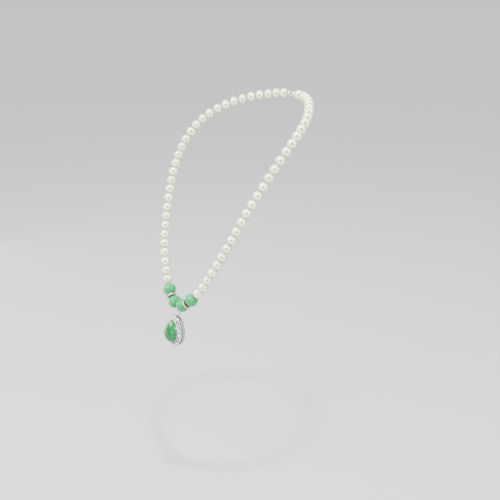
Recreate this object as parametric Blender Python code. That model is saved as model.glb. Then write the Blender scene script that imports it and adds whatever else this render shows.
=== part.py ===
"""Pendant necklace: a pearl strand with four jade beads, two crystal spacers and a pear jade pendant.

Units are metres, +Z is up, +X is the wearer's left and -Y is the front. The origin is the middle of
the neck opening, at the height of the shoulders. The strand is drawn as it lies on a wearer: round the
back of the neck, over the shoulders and down the chest to the pendant. Every bead is bored and threaded
on one cord, which runs straight through each bore and bends where two beads meet.
"""

import math

import bmesh
import bpy
import numpy as np
from mathutils import Matrix, Vector

MM = 0.001

# Beads
PEARL_ACROSS = 8.8 * MM
PEARL_ALONG = 7.9 * MM
JADE_ACROSS = 11.0 * MM
JADE_ALONG = 10.4 * MM
RONDELLE_D = 8.4 * MM
RONDELLE_LENGTH = 2.3 * MM
BORE_R = 0.55 * MM
CORD_R = 0.25 * MM
BEAD_GAP = 0.1 * MM
HINGE_GAP = 0.6 * MM
CORD_GAP = 0.3 * MM
PEARLS_PER_SIDE = 30

# The strand bends at the outer end of these pearls, counted from the pendant; 0 is the outer jade bead
CENTRE_JOINT = 0
CHEST_JOINT = 9
SHOULDER_JOINT = 17
NAPE_JOINT = 21

# Middle line of the wearer's left half of the cord, from the pendant round to the clasp, in mm
ROUTE_MM = [
    (0.0, -60.3, -131.6),
    (5.5, -60.2, -128.9),
    (15.7, -58.1, -121.8),
    (25.9, -54.0, -108.7),
    (37.0, -47.8, -88.1),
    (45.4, -39.7, -67.0),
    (52.6, -30.6, -45.9),
    (58.9, -19.6, -25.3),
    (62.6, -5.7, -6.0),
    (62.7, 5.6, 5.5),
    (59.9, 18.2, 15.1),
    (53.5, 30.9, 22.5),
    (43.7, 42.4, 28.0),
    (31.7, 53.0, 31.7),
    (18.3, 61.2, 34.2),
    (0.0, 64.6, 35.3),
]
RING_ROOM = 1.0 * MM

# Clasp: two turned barrels, each with a magnet in its mouth, meeting on the middle plane
CLASP_GAP = 0.3 * MM
BARREL_R = 3.1 * MM
BARREL_WALL = 0.65 * MM
BARREL_FLOOR = 1.4 * MM
MAGNET_R = 2.1 * MM
MAGNET_LENGTH = 2.0 * MM
KNOT_R = 0.8 * MM

# Links between the cord and the pendant, and how far they lean back towards the chest
WIRE_R = 0.35 * MM
LINK_GAP = 0.1 * MM
THREAD_RING_R = 2.75 * MM
BAIL_RING_R = 1.5 * MM
EYELET_R = 1.3 * MM
LINK_LEAN = math.radians(9.0)

# Pendant, in its own frame: across, up along its face, and out from its back plane
PENDANT_ORIGIN = Vector((0.0, -60.8, -152.1)) * MM
PENDANT_LEAN = math.radians(9.0)
CAB_HALF_WIDTH = 7.5 * MM
CAB_HALF_HEIGHT = 10.0 * MM
CAB_BASE = 5.4 * MM
CAB_GIRDLE = 6.2 * MM
CAB_DOME = 6.4 * MM
PEAR_TAPER = 0.5
PEAR_WIDEST = 0.864
PEAR_STRETCH = 1.18
PEAR_STEPS = 36
FINE_STEPS = 720
CABOCHON_STEPS = 24
SUMMIT_DROP = 0.18
DOME_ANGLES = [0.0, 25.0, 48.0, 68.0, 84.0]
HALO_STONES = 18
HALO_OFFSET = 2.0 * MM
HALO_HEIGHT = 4.9 * MM
HALO_SLANT = math.radians(51.0)
STONE_R = 1.5 * MM
STONE_HALF_DEPTH = 0.6 * MM
RINGS_PER_STONE = 3
MEETING_SIZE = 0.3
GALLERY_WALL = 0.7 * MM
GALLERY_OFFSET = 2.2 * MM
GALLERY_LEVELS = [0.0, 0.55 * MM, 1.5 * MM, 2.05 * MM]
GALLERY_TOP_TRIM = 1.6 * MM

COLOURS = {
    "pearl": ((0.93, 0.92, 0.86), 0.22, 0.0),
    "jade": ((0.05, 0.62, 0.28), 0.15, 0.0),
    "crystal": ((0.92, 0.94, 0.95), 0.05, 0.0),
    "silver": ((0.83, 0.82, 0.81), 0.2, 1.0),
    "rose_gold": ((0.80, 0.50, 0.42), 0.25, 1.0),
    "cord": ((0.90, 0.89, 0.85), 0.8, 0.0),
    "magnet": ((0.55, 0.55, 0.57), 0.35, 1.0),
}


def clear_scene():
    for obj in list(bpy.data.objects):
        bpy.data.objects.remove(obj, do_unlink=True)


def make_materials():
    made = {}
    for name, (colour, roughness, metallic) in COLOURS.items():
        material = bpy.data.materials.new(name)
        material.use_nodes = True
        shader = material.node_tree.nodes["Principled BSDF"]
        shader.inputs["Base Color"].default_value = (*colour, 1.0)
        shader.inputs["Roughness"].default_value = roughness
        shader.inputs["Metallic"].default_value = metallic
        made[name] = material
    return made


def make_body(name, at, parent=None):
    """An empty on the joint's axis, which carries the pieces that move together."""
    empty = bpy.data.objects.new(name, None)
    empty.empty_display_size = 2 * MM
    bpy.context.collection.objects.link(empty)
    empty.location = at
    attach(empty, parent)
    return empty


def attach(obj, parent):
    bpy.context.view_layer.update()
    if parent:
        obj.parent = parent
        obj.matrix_parent_inverse = parent.matrix_world.inverted()


def add_object(name, data, material, body, place=None):
    obj = bpy.data.objects.new(name, data)
    bpy.context.collection.objects.link(obj)
    obj.matrix_world = place or Matrix.Identity(4)
    if not data.materials:
        data.materials.append(material)
    attach(obj, body)
    return obj


def finish_mesh(name, bm, smooth_angle=40.0):
    bmesh.ops.recalc_face_normals(bm, faces=bm.faces)
    mesh = bpy.data.meshes.new(name)
    bm.to_mesh(mesh)
    bm.free()
    mesh.shade_smooth()
    mesh.set_sharp_from_angle(angle=math.radians(smooth_angle))
    return mesh


def turned(name, profile, steps, closed=True):
    """A profile of (radius, height) points turned about Z."""
    bm = bmesh.new()
    points = [bm.verts.new((radius, 0.0, height)) for radius, height in profile]
    edges = [bm.edges.new(pair) for pair in zip(points, points[1:])]
    if closed:
        edges.append(bm.edges.new((points[-1], points[0])))
    bmesh.ops.spin(bm, geom=points + edges, cent=(0, 0, 0), axis=(0, 0, 1), dvec=(0, 0, 0),
                   angle=math.tau, steps=steps, use_merge=True, use_duplicate=False)
    return finish_mesh(name, bm)


def ring_of_points(centre, across, up, half_width, half_height, sides):
    turns = [math.tau * k / sides for k in range(sides)]
    return [centre + across * (half_width * math.cos(a)) + up * (half_height * math.sin(a)) for a in turns]


def lofted(name, rings, looped=False, smooth_angle=40.0):
    """A skin through rings of points, closed by caps or back on its first ring."""
    bm = bmesh.new()
    loops = [[bm.verts.new(point) for point in ring] for ring in rings]
    pairs = list(zip(loops, loops[1:]))
    if looped:
        pairs.append((loops[-1], loops[0]))
    else:
        bm.faces.new(loops[0])
        bm.faces.new(loops[-1])
    for first, second in pairs:
        for k in range(len(first)):
            n = (k + 1) % len(first)
            bm.faces.new((first[k], first[n], second[n], second[k]))
    return finish_mesh(name, bm, smooth_angle)


# ---- The strand's route


def smooth_path(points, steps=30):
    """Points along a smooth curve through the given ones, made of cubic Hermite pieces."""
    p = np.array(points, dtype=float)
    t = np.concatenate([[0.0], np.cumsum(np.linalg.norm(np.diff(p, axis=0), axis=1))])
    slope = np.gradient(p, t, axis=0)
    out = []
    for i in range(len(p) - 1):
        h = t[i + 1] - t[i]
        for u in np.linspace(0.0, 1.0, steps, endpoint=False):
            start, end = (1 + 2 * u) * (1 - u) ** 2, u * u * (3 - 2 * u)
            lead, tail = h * u * (1 - u) ** 2, h * u * u * (u - 1)
            out.append(start * p[i] + end * p[i + 1] + lead * slope[i] + tail * slope[i + 1])
    return [Vector(q) * MM for q in out] + [Vector(points[-1]) * MM]


def step_along(path, index, start, distance):
    """The next point of the path at a straight distance from start, and where the path goes on."""
    while index < len(path) - 1 and (path[index] - start).length < distance:
        index += 1
    near, far = path[index - 1], path[index]
    inside, outside = (near - start).length, (far - start).length
    return near.lerp(far, (distance - inside) / (outside - inside)), index


def gap_after(bead_number):
    joints = (CENTRE_JOINT, CHEST_JOINT, SHOULDER_JOINT, NAPE_JOINT)
    return HINGE_GAP if bead_number in joints else BEAD_GAP


def bead_list():
    """(kind, room before the bead's middle, room after it) along one half, from the pendant."""
    jade, spacer, pearl = JADE_ALONG / 2, RONDELLE_LENGTH / 2, PEARL_ALONG / 2
    small = BEAD_GAP / 2
    beads = [("jade_inner", jade + RING_ROOM, jade + small), ("rondelle", spacer + small, spacer + small)]
    beads.append(("jade_outer", jade + small, jade + gap_after(CENTRE_JOINT) / 2))
    for number in range(1, PEARLS_PER_SIDE + 1):
        before, after = gap_after(number - 1) / 2, gap_after(number) / 2
        beads.append(("pearl_%02d" % number, pearl + before, pearl + after))
    return beads


def lay_beads():
    """Each bead's middle and direction, and the point after it where the cord can bend."""
    path = smooth_path(ROUTE_MM)
    start, index, laid = path[0], 1, {}
    for kind, before, after in bead_list():
        end, index = step_along(path, index, start, before + after)
        along = (end - start).normalized()
        laid[kind] = {"at": start + along * before, "along": along, "start": start, "end": end}
        start = end
    return laid


def mirrored(vector, side):
    return Vector((vector.x * side, vector.y, vector.z))


def place_on_cord(bead, side):
    along = mirrored(bead["along"], side)
    return Matrix.Translation(mirrored(bead["at"], side)) @ along.to_track_quat("Z", "Y").to_matrix().to_4x4()


# ---- Beads, spacers and cord


def ball_profile(across, along, bore, bands):
    """Half of a bored bead's outline, from its lower drilled end to its upper one."""
    low = math.asin(2 * bore / across)
    angles = [low + (math.pi - 2 * low) * k / bands for k in range(bands + 1)]
    return [(across / 2 * math.sin(a), -along / 2 * math.cos(a)) for a in angles]


def spool_profile():
    """A spacer's outline: two thin plates with a narrower waist, where its crystals sit."""
    half, rim, waist, plate = RONDELLE_LENGTH / 2, RONDELLE_D / 2, RONDELLE_D / 2 - 0.6 * MM, 0.55 * MM
    outer = [(rim, -half + 0.15 * MM), (rim, -half + plate), (waist, -half + plate)]
    outer += [(radius, -height) for radius, height in reversed(outer)]
    return [(BORE_R, -half), (rim - 0.5 * MM, -half)] + outer + [(rim - 0.5 * MM, half), (BORE_R, half)]


def make_cord(name, points, material, body):
    """A curve object through the bends of the cord, a little short of each end."""
    first, last = points[0], points[-1]
    points = list(points)
    points[0] = first + (points[1] - first).normalized() * CORD_GAP / 2
    points[-1] = last + (points[-2] - last).normalized() * CORD_GAP / 2
    curve = bpy.data.curves.new(name, "CURVE")
    curve.dimensions = "3D"
    curve.bevel_depth = CORD_R
    curve.bevel_resolution = 1
    curve.use_fill_caps = True
    spline = curve.splines.new("POLY")
    spline.points.add(len(points) - 1)
    for knot, point in zip(spline.points, points):
        knot.co = (*point, 1.0)
    return add_object(name, curve, material, body)


def bead_rings(at, along, sides=8, bands=4):
    turn = along.to_track_quat("Z", "Y").to_matrix()
    across, up = turn.col[0], turn.col[1]
    profile = ball_profile(PEARL_ACROSS, PEARL_ALONG, BORE_R, bands)
    return [ring_of_points(at + along * height, across, up, radius, radius, sides)
            for radius, height in profile]


def round_ring(at, along, radius, sides=8):
    turn = along.to_track_quat("Z", "Y").to_matrix()
    return ring_of_points(at, turn.col[0], turn.col[1], radius, radius, sides)


def make_run(name, laid, numbers, side, material, body, knot_at=None):
    """A run of pearls with the cord inside them as one solid, down to the knot in the clasp."""
    beads = [laid["pearl_%02d" % number] for number in numbers]
    along = mirrored(beads[0]["along"], side)
    rings = [round_ring(mirrored(beads[0]["start"], side) + along * CORD_GAP / 2, along, CORD_R)]
    for bead in beads:
        rings += bead_rings(mirrored(bead["at"], side), mirrored(bead["along"], side))
    along = mirrored(beads[-1]["along"], side)
    if knot_at is None:
        rings.append(round_ring(mirrored(beads[-1]["end"], side) - along * CORD_GAP / 2, along, CORD_R))
    else:
        inward = Vector((-side, 0.0, 0.0))
        knot = mirrored(knot_at, side)
        rings.append(round_ring(mirrored(beads[-1]["end"], side), (along + inward).normalized(), CORD_R))
        for height, radius in ((-1.0, CORD_R), (-0.6, 0.8 * KNOT_R), (0.0, KNOT_R), (0.6, 0.8 * KNOT_R)):
            rings.append(round_ring(knot + inward * (height * KNOT_R), inward, radius))
        rings.append(round_ring(knot + inward * KNOT_R, inward, 0.4 * KNOT_R))
    return add_object(name, lofted(name, rings), material, body)


# ---- Clasp


def barrel_profile(length):
    """A cup open at its mating face, at height 0, with a bore for the cord in its floor."""
    inside, floor = BARREL_R - BARREL_WALL, length - BARREL_FLOOR
    bevel = 0.3 * MM
    shoulder = [(BARREL_R, length - 1.8 * MM), (BARREL_R - 0.6 * MM, length - 0.7 * MM), (1.5 * MM, length)]
    outer = [(BARREL_R - bevel, 0.0), (BARREL_R, bevel)] + shoulder
    return [(inside, 0.0)] + outer + [(BORE_R, length), (BORE_R, floor), (inside, floor)]


def make_clasp_half(side_name, side, laid, materials, body):
    end = laid["pearl_%02d" % PEARLS_PER_SIDE]["end"]
    length = end.x - BEAD_GAP / 2 - CLASP_GAP / 2
    axis = Vector((side, 0.0, 0.0))
    face = Vector((side * CLASP_GAP / 2, end.y, end.z))
    place = Matrix.Translation(face) @ axis.to_track_quat("Z", "Y").to_matrix().to_4x4()
    barrel = turned("clasp_barrel", barrel_profile(length), 14)
    add_object("clasp_barrel_" + side_name, barrel, materials["silver"], body, place)
    top, low = 0.1 * MM + MAGNET_LENGTH, 0.1 * MM
    half_disc = [(0.0, low), (MAGNET_R, low), (MAGNET_R, top), (0.0, top)]
    disc = turned("clasp_magnet", half_disc, 12, closed=False)
    add_object("clasp_magnet_" + side_name, disc, materials["magnet"], body, place)


def knot_place(laid):
    end = laid["pearl_%02d" % PEARLS_PER_SIDE]["end"]
    cavity_floor = end.x - BEAD_GAP / 2 - BARREL_FLOOR
    return Vector((cavity_floor - KNOT_R - 0.3 * MM, end.y, end.z))


# ---- Links and pendant


def link_point(distance):
    """A point on the leaning line that the links hang along, measured down from the cord."""
    down = Vector((0.0, math.sin(LINK_LEAN), -math.cos(LINK_LEAN)))
    return Vector(ROUTE_MM[0]) * MM + down * distance


def make_link(name, centre, radius, normal, material, body):
    """A round wire ring whose plane has the given normal."""
    turns = [math.tau * k / 6 for k in range(6)]
    profile = [(radius + WIRE_R * math.cos(a), WIRE_R * math.sin(a)) for a in turns]
    place = Matrix.Translation(centre) @ normal.to_track_quat("Z", "Y").to_matrix().to_4x4()
    return add_object(name, turned(name, profile, 16), material, body, place)


def link_layout():
    """Distances below the cord: thread ring, sway pivot, bail ring, nod pivot and eyelet."""
    clear = 2 * WIRE_R + LINK_GAP
    thread_ring = THREAD_RING_R - CORD_R - WIRE_R - LINK_GAP
    sway = thread_ring + THREAD_RING_R
    bail_ring = sway - clear + BAIL_RING_R
    nod = bail_ring + BAIL_RING_R
    eyelet = nod - clear + EYELET_R
    return thread_ring, sway, bail_ring, nod, eyelet


def pendant_frame():
    """The pendant's own axes as a matrix: across, up along its face, and out of its face."""
    lean = PENDANT_LEAN
    up = Vector((0.0, math.sin(lean), math.cos(lean)))
    out = Vector((0.0, -math.cos(lean), math.sin(lean)))
    axes = Matrix((Vector((1.0, 0.0, 0.0)), up, out)).transposed()
    return Matrix.Translation(PENDANT_ORIGIN) @ axes.to_4x4()


def pear(turn, offset=0.0):
    """A point of the pear outline, offset outwards; turn 0 is its upper tip."""
    half_width, half_height = CAB_HALF_WIDTH + offset, CAB_HALF_HEIGHT + offset * PEAR_STRETCH
    across = half_width * math.sin(turn) * abs(math.sin(turn / 2)) ** PEAR_TAPER / PEAR_WIDEST
    return Vector((across, half_height * math.cos(turn), 0.0))


def even_turns(count, offset):
    """Turns of the pear that lie the same distance apart along its outline, the first at the tip."""
    fine = [math.tau * k / FINE_STEPS for k in range(FINE_STEPS + 1)]
    points = [pear(turn, offset) for turn in fine]
    run = [0.0]
    for here, there in zip(points, points[1:]):
        run.append(run[-1] + (there - here).length)
    return [float(np.interp(run[-1] * k / count, run, fine)) for k in range(count)]


def out_of(point, height):
    return Vector((point.x, point.y, height))


def make_cabochon(material, body):
    """A flat-backed pear stone with an upright girdle and a high dome over its widest part."""
    turns = even_turns(CABOCHON_STEPS, 0.0)
    outline = [pear(turn) for turn in turns]
    summit = Vector((0.0, -SUMMIT_DROP * CAB_HALF_HEIGHT, 0.0))
    rings = [[out_of(point, CAB_BASE) for point in outline]]
    for angle in DOME_ANGLES:
        climb = math.radians(angle)
        size, height = math.cos(climb), CAB_GIRDLE + CAB_DOME * math.sin(climb)
        rings.append([out_of(summit.lerp(point, size), height) for point in outline])
    return add_object("cabochon", lofted("cabochon", rings), material, body, pendant_frame())


def make_setting(material, body):
    """The bezel round the cabochon with a ledge inside and a sloping flange outside, for the halo."""
    section = [(0.3, 6.4), (0.65, 6.4), (0.65, 4.75), (2.2, 2.85), (2.0, 2.45), (-0.5, 2.9), (-0.9, 3.6),
               (-0.9, 4.9), (0.3, 5.05)]
    turns = even_turns(PEAR_STEPS, 0.0)
    rings = [[out_of(pear(turn, offset * MM), height * MM) for offset, height in section] for turn in turns]
    return add_object("setting", lofted("setting", rings, looped=True), material, body, pendant_frame())


def make_halo(material, body):
    """The halo's crystals as one ring: flat stones that meet at their edges."""
    count = HALO_STONES * RINGS_PER_STONE
    turns = even_turns(count, HALO_OFFSET)
    rings = []
    for k, turn in enumerate(turns):
        here = pear(turn, HALO_OFFSET)
        ahead = (pear(turns[(k + 1) % count], HALO_OFFSET) - pear(turns[k - 1], HALO_OFFSET)).normalized()
        outward = Vector((ahead.y, -ahead.x, 0.0))
        if outward.dot(here) < 0:
            outward.negate()
        slope = outward * math.cos(HALO_SLANT) - Vector((0.0, 0.0, math.sin(HALO_SLANT)))
        lift = outward * math.sin(HALO_SLANT) + Vector((0.0, 0.0, math.cos(HALO_SLANT)))
        size = MEETING_SIZE if k % RINGS_PER_STONE == 1 else 1.0
        centre = out_of(here, HALO_HEIGHT)
        rings.append(ring_of_points(centre, slope, lift, STONE_R * size, STONE_HALF_DEPTH * size, 6))
    return add_object("halo_crystals", lofted("halo_crystals", rings, looped=True, smooth_angle=5.0),
                      material, body, pendant_frame())


def gallery_point(turn, offset, height):
    """A point of the gallery's wall, whose upper end is trimmed to leave room for the eyelet."""
    point = pear(turn, offset)
    point.y = min(point.y, CAB_HALF_HEIGHT + offset * PEAR_STRETCH - GALLERY_TOP_TRIM)
    return out_of(point, height)


def make_gallery(material, body):
    """The open wall behind the halo: two pear rails joined by posts, with a window between each two posts."""
    turns = even_turns(PEAR_STEPS, GALLERY_OFFSET)
    bm = bmesh.new()
    walls = [[[bm.verts.new(gallery_point(turn, offset, height)) for height in GALLERY_LEVELS]
              for turn in turns] for offset in (GALLERY_OFFSET, GALLERY_OFFSET - GALLERY_WALL)]
    outer, inner = walls
    last = len(GALLERY_LEVELS) - 1
    for k in range(PEAR_STEPS):
        n = (k + 1) % PEAR_STEPS
        window = k % 2 == 1
        for level in range(last):
            if window and level == 1:
                continue
            for wall in walls:
                bm.faces.new((wall[k][level], wall[n][level], wall[n][level + 1], wall[k][level + 1]))
        for level in (0, last):
            bm.faces.new((outer[k][level], outer[n][level], inner[n][level], inner[k][level]))
        if window:
            for level in (1, 2):
                bm.faces.new((outer[k][level], outer[n][level], inner[n][level], inner[k][level]))
            for side in (k, n):
                bm.faces.new((outer[side][1], outer[side][2], inner[side][2], inner[side][1]))
    return add_object("gallery", finish_mesh("gallery", bm), material, body, pendant_frame())


# ---- Assembly


def side_bodies(laid, collar):
    """The body at each side of the nape, which swings open when the clasp is undone."""
    pivot = laid["pearl_%02d" % NAPE_JOINT]["end"]
    return {side: make_body("nape_" + name + "_pivot", mirrored(pivot, side), collar)
            for name, side in (("left", 1), ("right", -1))}


def middle_of(point):
    return Vector((0.0, point.y, point.z))


def build():
    clear_scene()
    materials = make_materials()
    laid = lay_beads()
    thread_ring, sway, bail_ring, nod, eyelet = link_layout()

    collar = make_body("collar_pivot", Vector((0, 0, 0)))
    chest = make_body("upper_chest_pivot", middle_of(laid["pearl_%02d" % SHOULDER_JOINT]["end"]), collar)
    breast = make_body("lower_chest_pivot", middle_of(laid["pearl_%02d" % CHEST_JOINT]["end"]), chest)
    centre = make_body("centre_pivot", middle_of(laid["jade_outer"]["end"]), breast)
    swing_body = make_body("thread_ring_pivot", link_point(0.0), centre)
    sway_body = make_body("bail_ring_pivot", link_point(sway), swing_body)
    pendant = make_body("pendant_pivot", link_point(nod), sway_body)
    napes = side_bodies(laid, collar)

    pearl_mesh = turned("pearl", ball_profile(PEARL_ACROSS, PEARL_ALONG, BORE_R, 6), 10)
    jade_mesh = turned("jade_bead", ball_profile(JADE_ACROSS, JADE_ALONG, BORE_R, 8), 12)
    spacer_mesh = turned("rondelle", spool_profile(), 14)

    for side_name, side in (("left", 1), ("right", -1)):
        for number in range(1, SHOULDER_JOINT + 1):
            body = breast if number <= CHEST_JOINT else chest
            place = place_on_cord(laid["pearl_%02d" % number], side)
            add_object("pearl_%s_%02d" % (side_name, number), pearl_mesh, materials["pearl"], body, place)
        for kind, mesh, finish in (("jade_inner", jade_mesh, "jade"), ("jade_outer", jade_mesh, "jade"),
                                   ("rondelle", spacer_mesh, "rose_gold")):
            place = place_on_cord(laid[kind], side)
            add_object(kind + "_" + side_name, mesh, materials[finish], centre, place)

        ends = [mirrored(laid["jade_outer"]["end"], side)]
        for number in range(1, SHOULDER_JOINT + 1):
            ends.append(mirrored(laid["pearl_%02d" % number]["end"], side))
        make_cord("cord_lower_" + side_name, ends[:CHEST_JOINT + 1], materials["cord"], breast)
        make_cord("cord_upper_" + side_name, ends[CHEST_JOINT:], materials["cord"], chest)

        make_run("shoulder_pearls_" + side_name, laid, range(SHOULDER_JOINT + 1, NAPE_JOINT + 1), side,
                 materials["pearl"], collar)
        make_run("nape_pearls_" + side_name, laid, range(NAPE_JOINT + 1, PEARLS_PER_SIDE + 1), side,
                 materials["pearl"], napes[side], knot_place(laid))
        make_clasp_half(side_name, side, laid, materials, napes[side])

    half = [laid["jade_inner"]["start"]]
    half += [laid[kind]["end"] for kind in ("jade_inner", "rondelle", "jade_outer")]
    whole = [mirrored(point, -1) for point in reversed(half)] + half[1:]
    make_cord("cord_centre", whole, materials["cord"], centre)

    sideways, level = Vector((1, 0, 0)), Vector((0, math.cos(LINK_LEAN), math.sin(LINK_LEAN)))
    silver = materials["silver"]
    make_link("thread_ring", link_point(thread_ring), THREAD_RING_R, sideways, silver, swing_body)
    make_link("bail_ring", link_point(bail_ring), BAIL_RING_R, level, silver, sway_body)
    make_link("eyelet", link_point(eyelet), EYELET_R, sideways, silver, pendant)
    make_gallery(silver, pendant)
    make_setting(silver, pendant)
    make_halo(materials["crystal"], pendant)
    make_cabochon(materials["jade"], pendant)


build()
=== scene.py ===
# %% [markdown]
# # A pearl and jade pendant necklace
# The necklace is one silk cord with sixty pearls, four jade beads and two crystal rondelles on it. A
# pear-shaped stone in a silver halo setting hangs from the middle on two wire rings, and a magnetic
# barrel clasp closes the cord behind the neck. The plain working model is loaded first as a fixed
# frame. Every fine piece made below then stands where its plain one stands and moves with it.

# %% Load the working model
import math
import random

import bmesh
import bpy
from mathutils import Matrix, Vector


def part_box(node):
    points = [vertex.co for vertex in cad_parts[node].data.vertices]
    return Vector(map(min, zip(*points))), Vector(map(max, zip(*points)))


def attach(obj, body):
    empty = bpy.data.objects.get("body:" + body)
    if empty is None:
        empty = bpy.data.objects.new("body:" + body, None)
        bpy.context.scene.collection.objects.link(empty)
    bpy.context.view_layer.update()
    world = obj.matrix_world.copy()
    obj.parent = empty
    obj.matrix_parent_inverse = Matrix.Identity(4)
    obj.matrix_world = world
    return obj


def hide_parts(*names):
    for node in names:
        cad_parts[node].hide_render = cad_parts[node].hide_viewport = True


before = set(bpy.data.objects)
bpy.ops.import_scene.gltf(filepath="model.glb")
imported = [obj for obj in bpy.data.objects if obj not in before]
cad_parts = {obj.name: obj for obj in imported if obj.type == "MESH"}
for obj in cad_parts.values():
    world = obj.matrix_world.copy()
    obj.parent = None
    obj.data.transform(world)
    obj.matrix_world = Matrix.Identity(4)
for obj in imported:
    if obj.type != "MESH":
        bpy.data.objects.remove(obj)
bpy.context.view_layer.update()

MM = 0.001

# %% [markdown]
# ## The camera
# A camera's place and turn can be set by hand in the viewport, but a short formula is easier to repeat.
# The azimuth and the elevation say from which side the necklace is seen: from the wearer's left front
# and a little above. Three directions, right, up and back, then make the camera's matrix. The values
# came from a fitting program and are rounded.

# %% Camera
CAMERA_PLACE = Vector((475.4, -379.6, 105.4)) * MM
CAMERA_AZIMUTH = math.radians(50.15)
CAMERA_ELEVATION = math.radians(18.16)
CAMERA_ROLL = math.radians(0.28)
CAMERA_LENS = 53.13


def camera_axes(azimuth, elevation):
    right = Vector((math.cos(azimuth), math.sin(azimuth), 0.0))
    back = Vector((math.sin(azimuth) * math.cos(elevation), -math.cos(azimuth) * math.cos(elevation),
                   math.sin(elevation)))
    return right, back.cross(right), back


view_right, view_up, view_back = camera_axes(CAMERA_AZIMUTH, CAMERA_ELEVATION)
camera_data = bpy.data.cameras.new("camera")
camera_data.lens = CAMERA_LENS
camera_data.clip_start = 0.01
camera = bpy.data.objects.new("camera", camera_data)
bpy.context.scene.collection.objects.link(camera)
turn = Matrix((view_right, view_up, view_back)).transposed() @ Matrix.Rotation(CAMERA_ROLL, 3, "Z")
camera.matrix_world = Matrix.Translation(CAMERA_PLACE) @ turn.to_4x4()
bpy.context.scene.camera = camera
print("camera", [round(v, 4) for v in camera.location])

# %% [markdown]
# ## The studio
# Polished stones and pearls show the lights themselves as highlights, so jewellery is lit with large
# soft lights. A big square key light stands at the upper left. Weaker ones at the right and below it
# fill the shadows, a small one overhead gives a sharper point near the top of each bead, and a wide
# one behind on the left lights the edges. All are placed along the camera's own directions.

# %% Lights
MIDDLE = Vector((0.0, 0.0, -0.06))


def area_light(name, across, up, towards, size, power):
    """A square light, placed from the necklace's middle along the camera's own directions."""
    data = bpy.data.lights.new(name, "AREA")
    data.shape = "SQUARE"
    data.size = size
    data.energy = power
    light = bpy.data.objects.new(name, data)
    bpy.context.scene.collection.objects.link(light)
    light.location = MIDDLE + view_right * across + view_up * up + view_back * towards
    light.rotation_euler = (light.location - MIDDLE).to_track_quat("Z", "Y").to_euler()


area_light("key_light", -0.60, 0.60, 0.75, 0.55, 24.0)
area_light("right_light", 0.62, 0.22, 0.85, 0.40, 9.0)
area_light("low_light", -0.30, -0.26, 0.95, 0.30, 3.0)
area_light("top_light", 0.02, 0.85, 0.42, 0.07, 12.0)
area_light("edge_light", -0.60, -0.10, -0.35, 0.70, 5.0)

# %% [markdown]
# The floor is plain and pale, and large enough that its far edge lies at the horizon. The world is
# brighter overhead than at the horizon. Metal that faces up then looks brighter than metal that faces
# sideways, which an even white world would not give.

# %% Floor and world
FLOOR_Z = -0.284
FLOOR_SIZE = 400.0
FLOOR_COLOUR = (0.46, 0.47, 0.46, 1.0)
HORIZON_COLOUR = (0.42, 0.43, 0.42, 1.0)
OVERHEAD_COLOUR = (1.0, 1.0, 1.0, 1.0)
WORLD_STRENGTH = 2.2

floor_mesh = bpy.data.meshes.new("floor")
bm = bmesh.new()
bmesh.ops.create_grid(bm, x_segments=1, y_segments=1, size=FLOOR_SIZE / 2,
                      matrix=Matrix.Translation((0.0, 0.0, FLOOR_Z)))
bm.to_mesh(floor_mesh)
bm.free()
floor = bpy.data.objects.new("floor", floor_mesh)
bpy.context.scene.collection.objects.link(floor)

floor_paint = bpy.data.materials.new("floor_paint")
floor_paint.use_nodes = True
floor_shader = floor_paint.node_tree.nodes["Principled BSDF"]
floor_shader.inputs["Base Color"].default_value = FLOOR_COLOUR
floor_shader.inputs["Roughness"].default_value = 0.9
floor_mesh.materials.append(floor_paint)

world = bpy.data.worlds.new("studio")
world.use_nodes = True
sky = world.node_tree
direction = sky.nodes.new("ShaderNodeTexCoord")
split = sky.nodes.new("ShaderNodeSeparateXYZ")
ramp = sky.nodes.new("ShaderNodeValToRGB")
ramp.color_ramp.elements[0].position = 0.02
ramp.color_ramp.elements[0].color = HORIZON_COLOUR
ramp.color_ramp.elements[1].position = 0.75
ramp.color_ramp.elements[1].color = OVERHEAD_COLOUR
sky.links.new(direction.outputs["Generated"], split.inputs["Vector"])
sky.links.new(split.outputs["Z"], ramp.inputs["Fac"])
sky.links.new(ramp.outputs["Color"], sky.nodes["Background"].inputs["Color"])
sky.nodes["Background"].inputs["Strength"].default_value = WORLD_STRENGTH
bpy.context.scene.world = world
print("floor", FLOOR_SIZE, "m wide at", FLOOR_Z, "m; world strength", WORLD_STRENGTH)

# %% [markdown]
# ## Small tools for materials
# A shader node group is a material effect that is built once and used in many materials. Its inputs
# and outputs are made with `interface.new_socket`. These two helpers make a group and a material, and
# the nodes inside are wired by name, so each recipe below stays short.

# %% Helpers for node groups and materials
def new_group(name, inputs, outputs):
    """A shader node group with named sockets; inputs are (name, kind, default)."""
    tree = bpy.data.node_groups.new(name, "ShaderNodeTree")
    for label, kind, default in inputs:
        socket = tree.interface.new_socket(name=label, in_out="INPUT", socket_type=kind)
        socket.default_value = default
    for label, kind in outputs:
        tree.interface.new_socket(name=label, in_out="OUTPUT", socket_type=kind)
    return tree, tree.nodes.new("NodeGroupInput"), tree.nodes.new("NodeGroupOutput")


def add_node(tree, kind, links=(), **values):
    """A node with its input values set by name, and links made from (socket, input name) pairs."""
    node = tree.nodes.new(kind)
    for label, value in values.items():
        setattr(node, label, value)
    for socket, label in links:
        tree.links.new(socket, node.inputs[label])
    return node


def set_inputs(node, **values):
    for label, value in values.items():
        node.inputs[label.replace("_", " ")].default_value = value
    return node


def new_material(name, colour, roughness, metallic=0.0):
    material = bpy.data.materials.new(name)
    material.use_nodes = True
    shader = material.node_tree.nodes["Principled BSDF"]
    set_inputs(shader, Base_Color=(*colour, 1.0), Roughness=roughness, Metallic=metallic)
    return material, material.node_tree, shader


FLOAT, COLOUR, VECTOR = "NodeSocketFloat", "NodeSocketColor", "NodeSocketVector"

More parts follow.
